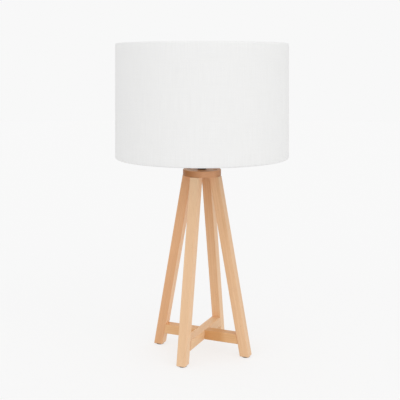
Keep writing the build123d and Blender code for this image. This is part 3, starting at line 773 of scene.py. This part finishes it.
globe_radius = radius_of("bulb_globe")
globe_seat, globe_crown = heights("bulb_globe")
globe_centre = globe_crown - globe_radius
rim_radius = math.sqrt(globe_radius ** 2 - (globe_centre - globe_seat) ** 2)


def flare(share):
    """A point on the housing's flare, which starts upright and leans out more and more."""
    foot = bulb_cap_high + bulb_collar_height
    return (bulb_neck_radius + (rim_radius - bulb_neck_radius) * share ** flare_power,
            foot + (globe_seat - foot) * share)


housing_low = heights("bulb_body")[0]
housing_shape = turned([
    (0.0, housing_low),
    (cap_root - 2 * cap_sheet, housing_low),
    (cap_root - 2 * cap_sheet, bulb_cap_high + joint_gap),
    (bulb_neck_radius, bulb_cap_high + joint_gap, 0.3 * MM),
    *[flare(row / flare_rows) for row in range(flare_rows + 1)],
    (rim_radius - glass_wall, globe_seat),
    (0.0, globe_seat),
])
piece("bulb_flared_housing", housing_shape, white_housing, "bulb", ["bulb_body"])


def globe_arc(radius, steps=40):
    """Points of one face of the glass, from its seat in the housing up to the crown."""
    tilt = math.asin((globe_seat - globe_centre) / radius)
    angles = [tilt + (math.pi / 2 - tilt) * step / steps for step in range(steps)]
    return [(radius * math.cos(angle), globe_centre + radius * math.sin(angle)) for angle in angles] + [
        (0.0, globe_centre + radius)]


opal_glass = finish("opal_glass", (0.86, 0.86, 0.85), 0.3, Subsurface_Weight=0.35, Subsurface_Scale=0.004,
                    Coat_Weight=0.15, Coat_Roughness=0.3)
milk = spread(opal_glass, grain_of(opal_glass, 45.0), 0.4, 0.6)
frost = grain_of(opal_glass, 2400.0)
coat(opal_glass, mix(opal_glass, milk, (0.83, 0.83, 0.82), (0.88, 0.88, 0.87)),
     spread(opal_glass, frost, 0.3, 0.7, 0.26, 0.36), frost, 0.004 * MM)
globe_shape = turned(globe_arc(globe_radius) + globe_arc(globe_radius - glass_wall)[::-1], steps=128)
piece("opal_globe", globe_shape, opal_glass, "bulb", ["bulb_globe"])

# %% [markdown]
# ## Small parts kept as solids
#
# Dowels, hoops, the ceramic block, its screws and the contact strip are already as they should be and hardly
# show, so they only get a finish. The board of light-emitting diodes is one solid, and its finish tells the
# white board from the yellow phosphor on top by height alone.

# %% Finishes on solids that stay
board_white = finish("board_and_phosphor", (0.75, 0.75, 0.72), 0.4)
board_height = add(board_white, "SeparateXYZ", Vector=object_place(board_white)).outputs["Z"]
phosphor_height = globe_seat + 1.75 * MM
phosphor = calc(board_white, "GREATER_THAN", board_height, phosphor_height)
speckle = spread(board_white, grain_of(board_white, 3000.0), 0.35, 0.65)
lacquer = mix(board_white, speckle, (0.70, 0.71, 0.69), (0.78, 0.78, 0.76))
glow_paste = mix(board_white, speckle, (0.80, 0.60, 0.12), (0.88, 0.70, 0.2))
coat(board_white, mix(board_white, phosphor, lacquer, glow_paste), None, speckle, 0.01 * MM)

bare_beech = beech("beech_dowels", (0, 0, 1), (0, 0, 0.3), (0.03, 0.01),
                   (0.74, 0.52, 0.33), (0.55, 0.34, 0.18), lacquer=0.0)
for node, material, slot in (
    ("leg_dowels", bare_beech, "dowel_wood"),
    ("rail_dowels", bare_beech, "dowel_wood"),
    ("contact_block", glazed_ceramic, "contact_ceramic"),
    ("terminal_screws", contact_brass, "contact_brass"),
    ("centre_contact", contact_brass, "contact_brass"),
    ("led_board", board_white, "bulb_board"),
    ("top_ring", white_powder, "carrier_white_steel"),
    ("bottom_ring", white_powder, "carrier_white_steel"),
):
    dress(node, material)

# %% [markdown]
# ## Tube, nut, washer and bush
#
# A threaded tube holds the lampholder down on the disc. The tube's fine metric thread is the same pressed
# wave as before. The nut starts as a six-sided prism, and a turned shape with sloping rims is kept in common
# with it, which is just how the corners of a real nut are turned off.

# %% Threaded tube
tube_bore = 4.0 * MM
tube_pitch = 1.0 * MM
tube_thread_depth = 0.55 * MM
tube_end = 0.5 * MM
tube_rows = 232

tube_low, tube_high = heights("threaded_tube")
tube_shape = turned([
    (tube_bore, tube_low),
    (tube_radius - tube_end, tube_low),
    *upright(tube_radius, tube_low + tube_end, tube_high - tube_end, tube_rows),
    (tube_radius - tube_end, tube_high),
    (tube_bore, tube_high),
], steps=48)


def tube_press(angle, height):
    """The tube's metric thread."""
    return tube_thread_depth * (1.0 - thread_wave(tube_pitch, angle, height))


press(tube_shape, tube_low + tube_end, tube_high - tube_end, tube_radius - 0.1 * MM, tube_radius + MM,
      tube_press)
piece("steel_thread_tube", tube_shape, zinc_plate, "base", ["threaded_tube"], crease=60.0)

# %% Nut, washer and bush
nut_width = 14.0 * MM
nut_rim = 7.15 * MM
nut_slope = math.radians(30)
nut_lead = 0.5 * MM
nut_bore = tube_radius + screw_gap

nut_low, nut_high = heights("tube_nut")
nut_corner = nut_width / math.sqrt(3)
nut_turning_reach = nut_corner + MM
nut_drop = (nut_turning_reach - nut_rim) * math.tan(nut_slope)
nut_shape = bmesh.new()
bmesh.ops.create_cone(nut_shape, cap_ends=True, segments=6, radius1=nut_corner, radius2=nut_corner,
                      depth=nut_high - nut_low, matrix=Matrix.Translation((0, 0, (nut_low + nut_high) / 2)))
nut_turning = turned([
    (nut_bore, nut_low + nut_lead),
    (nut_bore + nut_lead, nut_low),
    (nut_rim, nut_low),
    (nut_turning_reach, nut_low + nut_drop),
    (nut_turning_reach, nut_high - nut_drop),
    (nut_rim, nut_high),
    (nut_bore + nut_lead, nut_high),
    (nut_bore, nut_high - nut_lead),
])
piece("steel_hex_nut", carve(nut_shape, nut_turning, "INTERSECT"), zinc_plate, "base",
      ["tube_nut"], crease=20.0)

washer_low, washer_high = heights("tube_washer")
washer_radius = radius_of("tube_washer")
washer_shape = turned([
    (nut_bore, washer_low, 0.15 * MM),
    (washer_radius, washer_low, 0.4 * MM),
    (washer_radius, washer_high, 0.1 * MM),
    (nut_bore, washer_high, 0.1 * MM),
])
piece("steel_washer", washer_shape, zinc_plate, "base", ["tube_washer"])

bush_bore = 3.4 * MM
bush_flange = 1.0 * MM
bush_low, bush_high = heights("cord_bush")
bush_radius = radius_of("cord_bush")
bush_shape = turned([
    (bush_bore, bush_low, 0.5 * MM),
    (bush_radius, bush_low, 0.6 * MM),
    (bush_radius, bush_low + bush_flange, 0.2 * MM),
    (tube_bore - screw_gap, bush_low + bush_flange),
    (tube_bore - screw_gap, bush_high, 0.2 * MM),
    (bush_bore, bush_high, 0.2 * MM),
], steps=72)
piece("nylon_bush", bush_shape, bush_nylon, "base", ["cord_bush"])

# %% [markdown]
# ## Wood screws and feet
#
# A countersunk screw runs down into each leg, a little beside the axis to leave room for a dowel. One screw
# is turned upright and threaded, and its cross recess is cut with two tapered bars. Then it is copied to the
# four legs with a matrix whose Z axis is the leg's own. The feet are low rubber pads with a soft lower edge,
# the dark line under each leg in the photograph.

# %% Wood screws
screw_seat = 332.8 * MM
screw_aside = 4.0 * MM
screw_length = 40.0 * MM
screw_head_radius = 3.8 * MM
screw_head_height = 2.4 * MM
screw_radius = 2.0 * MM
screw_thread_start = 9.0 * MM
screw_point = 3.0 * MM
screw_pitch = 1.8 * MM
screw_thread_depth = 0.6 * MM
screw_rows = 124
cross_length = 4.6 * MM
cross_width = 1.1 * MM
cross_depth = 1.8 * MM
cross_taper = 0.55

screw_shape = turned([
    (0.0, 0.0),
    (screw_head_radius, 0.0, 0.15 * MM),
    (screw_radius, -screw_head_height, 0.5 * MM),
    *upright(screw_radius, -screw_thread_start, screw_point - screw_length, screw_rows),
    (0.0, -screw_length),
], steps=40)


def screw_press(angle, height):
    """A sharp wood thread: narrow crests and broad roots."""
    return (screw_thread_depth * (1.0 - thread_wave(screw_pitch, angle, height) ** 3)
            * min(1.0, (-screw_thread_start - height) / screw_pitch))


press(screw_shape, screw_point - screw_length, -screw_thread_start, screw_radius / 2, screw_head_radius,
      screw_press)
for turn in (0, 90):
    bar = bmesh.new()
    size = Matrix.Diagonal((cross_length, cross_width, 2 * cross_depth, 1.0))
    bmesh.ops.create_cube(bar, size=1.0, matrix=Matrix.Rotation(math.radians(turn), 4, "Z") @ size)
    narrow = [vert for vert in bar.verts if vert.co.z < 0]
    bmesh.ops.scale(bar, vec=(cross_taper, cross_taper, 1.0), verts=narrow)
    screw_shape = carve(screw_shape, bar)


def leg_place(out, height, aside):
    """A place beside the leg's axis: a matrix whose Z runs up the leg and whose X points across it."""
    outward = Vector((*out, 0.0))
    across = Vector((-outward.y, outward.x, 0.0))
    up_leg = Vector((-leg_lean * outward.x, -leg_lean * outward.y, 1.0)).normalized()
    place = Matrix((across, up_leg.cross(across), up_leg)).transposed().to_4x4()
    reach = leg_axis_at_floor - leg_lean * height
    place.translation = outward * reach + across * aside + Vector((0, 0, height))
    return place


one_screw = bpy.data.meshes.new("one_screw")
screw_shape.to_mesh(one_screw)
screw_shape.free()
screws = bmesh.new()
for look in leg_looks.values():
    before = len(screws.verts)
    screws.from_mesh(one_screw)
    place = leg_place(look["out"], screw_seat, screw_aside)
    bmesh.ops.transform(screws, matrix=place, verts=screws.verts[before:])
bpy.data.meshes.remove(one_screw)
piece("leg_wood_screws", screws, zinc_plate, "base", ["leg_screws"])

# %% Rubber feet
for name in leg_looks:
    node = f"foot_pad_{name}"
    pad_low, pad_high = (Vector(corner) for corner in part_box(node))
    pad_radius = (pad_high.x - pad_low.x) / 2
    pad_shape = turned([
        (0.0, pad_low.z),
        (pad_radius, pad_low.z, 0.5 * MM),
        (pad_radius, pad_high.z, 0.15 * MM),
        (0.0, pad_high.z),
    ], steps=48)
    middle = (pad_low + pad_high) / 2
    bmesh.ops.translate(pad_shape, vec=(middle.x, middle.y, 0.0), verts=pad_shape.verts)
    piece(f"rubber_foot_{name}", pad_shape, pad_rubber, "base", [node])

# %% [markdown]
# ## The shade's carrier
#
# A flat ring sits on the lampholder's shoulder, and three bent wires run from its underside down to the lower
# hoop. Each wire is a circle that is pushed along its straight runs and spun round its bends, so the section
# stays round all the way. A blob of weld joins it to the ring and to the hoop.

# %% Carrier ring and arms
carrier_bore = 21.0 * MM
arm_start = 25.0 * MM
arm_level = 12.0 * MM
arm_end_level = 14.0 * MM
arm_bend = 9.0 * MM
bend_steps = 5
wire_radius = 1.8 * MM
arm_angles = (90, 210, 330)

hoop_low, hoop_high = heights("bottom_ring")
hoop_wire = (hoop_high - hoop_low) / 2
lower_hoop = Vector((radius_of("bottom_ring") - hoop_wire, 0.0, (hoop_low + hoop_high) / 2))
upper_hoop = Vector((radius_of("top_ring") - hoop_wire, 0.0, heights("top_ring")[1] - hoop_wire))
carrier_low, carrier_high = heights("fitter_ring")
carrier_radius = radius_of("fitter_ring")
carrier_shape = turned([
    (carrier_bore, carrier_low, 0.35 * MM),
    (carrier_radius, carrier_low, 0.35 * MM),
    (carrier_radius, carrier_high, 0.35 * MM),
    (carrier_bore, carrier_high, 0.35 * MM),
], steps=128)
piece("carrier_ring", carrier_shape, white_powder, "shade", ["fitter_ring"])


def wire_route(start, runs, radius, sides=20):
    """A round wire that starts along X. Each run is a length and the bend after it, in radians down."""
    bm = bmesh.new()
    turn_x_to_z = Matrix.Rotation(math.pi / 2, 4, "Y")
    bmesh.ops.create_circle(bm, segments=sides, radius=radius, matrix=Matrix.Translation(start) @ turn_x_to_z)
    bmesh.ops.edgeloop_fill(bm, edges=bm.edges[:])
    ends = bm.edges[:]
    place, heading = Vector(start), Vector((1.0, 0.0, 0.0))
    for length, bend in runs:
        pushed = bmesh.ops.extrude_edge_only(bm, edges=ends)["geom"]
        moved = [item for item in pushed if isinstance(item, bmesh.types.BMVert)]
        bmesh.ops.translate(bm, vec=heading * length, verts=moved)
        ends = [item for item in pushed if isinstance(item, bmesh.types.BMEdge)
                and all(vert in moved for vert in item.verts)]
        place = place + heading * length
        if bend:
            side = Vector((heading.z, 0.0, -heading.x)) * math.copysign(arm_bend, bend)
            spun = bmesh.ops.spin(bm, geom=moved + ends, cent=place + side, axis=(0, 1, 0), angle=bend,
                                  steps=bend_steps)
            ends = [item for item in spun["geom_last"] if isinstance(item, bmesh.types.BMEdge)]
            turn = Matrix.Rotation(bend, 3, "Y")
            place = place + side - turn @ side
            heading = turn @ heading
    bmesh.ops.edgeloop_fill(bm, edges=ends)
    return bm


arm_height = carrier_low - wire_radius - joint_gap
arm_end = lower_hoop.x - hoop_wire - joint_gap
fall = arm_height - lower_hoop.z
reach = arm_end - arm_end_level - arm_start - arm_level
slope = math.atan2(fall, reach)
cut_back = arm_bend * math.tan(slope / 2)
arm_runs = ((arm_level - cut_back, slope), (math.hypot(fall, reach) - 2 * cut_back, -slope),
            (arm_end_level - cut_back, 0.0))
# A weld is a flattened ball: where it lies, and its half sizes in millimetres
ring_weld = ((arm_start + 2.0 * MM, 0.0, carrier_low - 0.15 * MM), (2.2, 2.0, 0.5))
hoop_weld = ((arm_end - 0.3 * MM, 0.0, lower_hoop.z), (0.9, 2.3, 2.0))
for number, angle in enumerate(arm_angles, start=1):
    arm_shape = wire_route((arm_start, 0.0, arm_height), arm_runs, wire_radius)
    for place, size in (ring_weld, hoop_weld):
        bmesh.ops.create_icosphere(arm_shape, subdivisions=3, radius=MM,
                                   matrix=Matrix.Translation(place) @ Matrix.Diagonal((*size, 1.0)))
    bmesh.ops.rotate(arm_shape, cent=(0, 0, 0), matrix=Matrix.Rotation(math.radians(angle), 3, "Z"),
                     verts=arm_shape.verts)
    piece(f"carrier_wire_{number}", arm_shape, white_powder, "shade",
          [f"fitter_arm_{number}"], crease=50.0)

# %% [markdown]
# ## The shade's cloth
#
# The cloth is glued to a stiff lining, rolled round a wire hoop at each rim and tucked in behind the lining.
# Its section is drawn once, from one tuck round the lower hoop, up the wall and round the upper hoop to the
# other tuck, and a spin sweeps it round. At the back the cloth laps over its own beginning, so the spin goes
# three steps past a full turn and the last stretch climbs outward by one thickness. The spin keeps its steps
# in order, so each corner knows its flat place on the cloth, and the weave follows the roll unstretched. The
# weave is plain: two waves at right angles make a pillow at each crossing. Slits in the hem let the arms out.

# %% Weave
cloth_white = finish("shade_cotton", (0.86, 0.86, 0.855), 0.86, Sheen_Weight=0.25, Sheen_Roughness=0.5,
                     Specular_IOR_Level=0.25)
thread_width = 0.42 * MM
flat_place = add(cloth_white, "UVMap").outputs["UV"]
flat_axes = add(cloth_white, "SeparateXYZ", Vector=flat_place)
across_warp, across_weft = [
    calc(cloth_white, "SINE", calc(cloth_white, "MULTIPLY", flat_axes.outputs[axis], math.pi / thread_width))
    for axis in "XY"]
crossing = calc(cloth_white, "MULTIPLY", across_warp, across_weft)
pillow = calc(cloth_white, "SQRT", calc(cloth_white, "ABSOLUTE", crossing))
warp_on_top = calc(cloth_white, "GREATER_THAN", crossing, 0.0)


def slubs(x_scale, y_scale):
    """Uneven spinning: streaks that run along one set of threads."""
    streak = add(cloth_white, "Mapping", Vector=flat_place, Scale=(x_scale, y_scale, 1.0)).outputs["Vector"]
    return add(cloth_white, "TexNoise", Vector=streak, Scale=1.0, Detail=3.0).outputs["Fac"]


uneven = calc(cloth_white, "ADD", slubs(900.0, 22.0), calc(cloth_white, "MULTIPLY", slubs(16.0, 900.0), 0.5))
thread_tone = mix(cloth_white, spread(cloth_white, uneven, 0.5, 1.0), (0.93, 0.93, 0.925),
                  (0.98, 0.98, 0.975))
woven = mix(cloth_white, spread(cloth_white, pillow, 0.0, 0.55), (0.86, 0.86, 0.85), thread_tone)
laid = calc(cloth_white, "ADD", pillow, calc(cloth_white, "MULTIPLY", warp_on_top, 0.15))
laid = calc(cloth_white, "ADD", laid, calc(cloth_white, "MULTIPLY", uneven, 0.6))
coat(cloth_white, woven, spread(cloth_white, pillow, 0.0, 1.0, 0.92, 0.8), laid, 0.035 * MM)

# %% Cloth rolled round the hoops
cloth_thickness = 0.45 * MM
lap_gap = 0.02 * MM
hem_radius = lower_hoop.z - heights("shade_fabric")[0]
roll_angle = math.radians(210)
roll_steps = 14
wall_steps = 12
round_steps = 240
lap_steps = 3
rise_steps = 18
step_angle = 2 * math.pi / round_steps
tuck = 6.58 * MM
seam_start = math.radians(120) - lap_steps * step_angle / 2

wall_up = (upper_hoop - lower_hoop).normalized()
wall_out = Vector((wall_up.z, 0.0, -wall_up.x))


def rolled_hem(hoop, way):
    """Points and outward directions from the wall round a hoop into the tuck. The way is up or down."""
    rolled = []
    for step in range(roll_steps + 1):
        angle = roll_angle * step / roll_steps
        outward = math.cos(angle) * wall_out + math.sin(angle) * way * wall_up
        rolled.append((hoop + hem_radius * outward, outward))
    last, outward = rolled[-1]
    onward = -math.sin(roll_angle) * wall_out + math.cos(roll_angle) * way * wall_up
    return rolled + [(last + onward * tuck * share, outward) for share in (0.5, 1.0)]


def climb(step):
    """How far out the cloth lies: nought at first, one thickness where it laps over its own beginning."""
    share = max(0.0, min(1.0, (step - round_steps) / rise_steps + 1.0))
    return (cloth_thickness + lap_gap) * share * share * (3.0 - 2.0 * share)


lower_roll = rolled_hem(lower_hoop, -1.0)
upper_roll = rolled_hem(upper_hoop, 1.0)
wall_points = [(lower_roll[0][0].lerp(upper_roll[0][0], step / wall_steps), wall_out)
               for step in range(1, wall_steps)]
section = lower_roll[::-1] + wall_points + upper_roll
lengths = [0.0]
for (first, _), (second, _) in zip(section, section[1:]):
    lengths.append(lengths[-1] + (second - first).length)

cloth = bmesh.new()
corners = [cloth.verts.new(point) for point, _ in section]
for first, second in zip(corners, corners[1:]):
    cloth.edges.new((first, second))
bmesh.ops.rotate(cloth, cent=(0, 0, 0), matrix=Matrix.Rotation(seam_start, 3, "Z"), verts=cloth.verts)
bmesh.ops.spin(cloth, geom=cloth.verts[:] + cloth.edges[:], cent=(0, 0, 0), axis=(0, 0, 1),
               angle=step_angle * (round_steps + lap_steps), steps=round_steps + lap_steps, use_merge=False)
cloth.verts.index_update()
for vert in cloth.verts:
    step, point = divmod(vert.index, len(section))
    vert.co += Matrix.Rotation(seam_start + step * step_angle, 3, "Z") @ section[point][1] * climb(step)

# %% Flat places and slits
slit_half_width = 2.2 * MM
slit_reach = 10.0 * MM

step_width = step_angle * (lower_hoop.x + upper_hoop.x) / 2
flat = cloth.loops.layers.uv.new("flat")
for face in cloth.faces:
    for loop in face.loops:
        step, point = divmod(loop.vert.index, len(section))
        loop[flat].uv = (step_width * step, lengths[point])


def near_arm(face, outward, width):
    """Whether a face of the lower hem lies within a width of the arm that points this way."""
    middle = face.calc_center_median()
    aside = outward.x * middle.y - outward.y * middle.x
    return (middle.dot(outward) > lower_hoop.x / 2 and abs(aside) < width
            and abs(middle.z - lower_hoop.z) < slit_reach)


for angle in arm_angles:
    outward = Vector((math.cos(math.radians(angle)), math.sin(math.radians(angle)), 0.0))
    beside = Vector((-outward.y, outward.x, 0.0))
    for side in (-slit_half_width, slit_half_width):
        around = {item for face in cloth.faces if near_arm(face, outward, slit_reach)
                  for item in (face, *face.edges, *face.verts)}
        bmesh.ops.bisect_plane(cloth, geom=list(around), plane_co=beside * side, plane_no=beside, dist=1e-7)
    slit = [face for face in cloth.faces if near_arm(face, outward, slit_half_width)
            and face.calc_center_median().xy.length < lower_hoop.x - MM
            and abs(face.calc_center_median().z - lower_hoop.z) < slit_half_width]
    bmesh.ops.delete(cloth, geom=slit, context="FACES")

outside = max(cloth.faces, key=lambda face: face.calc_center_median().xy.length)
if outside.normal.dot(outside.calc_center_median()) < 0:
    bmesh.ops.reverse_faces(cloth, faces=cloth.faces[:])
shade_cloth = piece("rolled_cloth", cloth, cloth_white, "shade", ["shade_fabric"],
                    closed=False)
wall = shade_cloth.modifiers.new("thickness", "SOLIDIFY")
wall.thickness = cloth_thickness
wall.offset = -1.0
wall.use_even_offset = True

# %% [markdown]
# ## Lining
#
# The lining is a plain tapered sleeve of white film that stands between the two hoops.

# %% Lining
lining_film = grained("lining_film", (0.82, 0.82, 0.80), 0.34, 1100.0, 0.012 * MM, 0.012, Coat_Weight=0.1)
lining_out, lining_in = 2.0 * MM, 1.6 * MM
hem_inside = hem_radius - cloth_thickness
film_low = lower_hoop + wall_up * hem_inside
film_high = upper_hoop - wall_up * hem_inside
corners_of_film = [film_low + wall_out * lining_in, film_low + wall_out * lining_out,
                   film_high + wall_out * lining_out, film_high + wall_out * lining_in]
lining = piece("white_lining", turned([(corner.x, corner.z) for corner in corners_of_film], steps=192),
               lining_film, "shade", ["shade_liner"])

# %% [markdown]
# ## Floor
#
# The sweep is one disc of pale paper, far wider than the picture. Paper that only reflects comes out a little
# darker than the background, and a horizon would show. So the paper glows as an overlit sweep does, a little
# less onto the lamp than into the camera. From below it is clear, so that the underside can be looked at.

# %% Floor
floor_radius = 6.0
floor_tone = 0.30
floor_glow = 0.677
floor_fill = 0.48

bm = bmesh.new()
bmesh.ops.create_circle(bm, cap_ends=True, segments=64, radius=floor_radius)
floor_mesh = bpy.data.meshes.new("studio_floor")
bm.to_mesh(floor_mesh)
bm.free()
floor = bpy.data.objects.new("studio_floor", floor_mesh)
scene.collection.objects.link(floor)
paper = finish("sweep_paper", (floor_tone,) * 3, 0.9, Specular_IOR_Level=0.0,
               Emission_Color=(1.0, 1.0, 1.0, 1.0))
seen_by_camera = add(paper, "LightPath").outputs["Is Camera Ray"]
shader = paper.node_tree.nodes["Principled BSDF"]
glow = spread(paper, seen_by_camera, 0.0, 1.0, floor_fill, floor_glow)
fill(paper, shader.inputs["Emission Strength"], glow)
from_below = add(paper, "MixShader", Fac=add(paper, "NewGeometry").outputs["Backfacing"])
fill(paper, from_below.inputs[1], shader.outputs["BSDF"])
fill(paper, from_below.inputs[2], add(paper, "BsdfTransparent").outputs["BSDF"])
fill(paper, paper.node_tree.nodes["Material Output"].inputs["Surface"], from_below.outputs["Shader"])
floor_mesh.materials.append(paper)
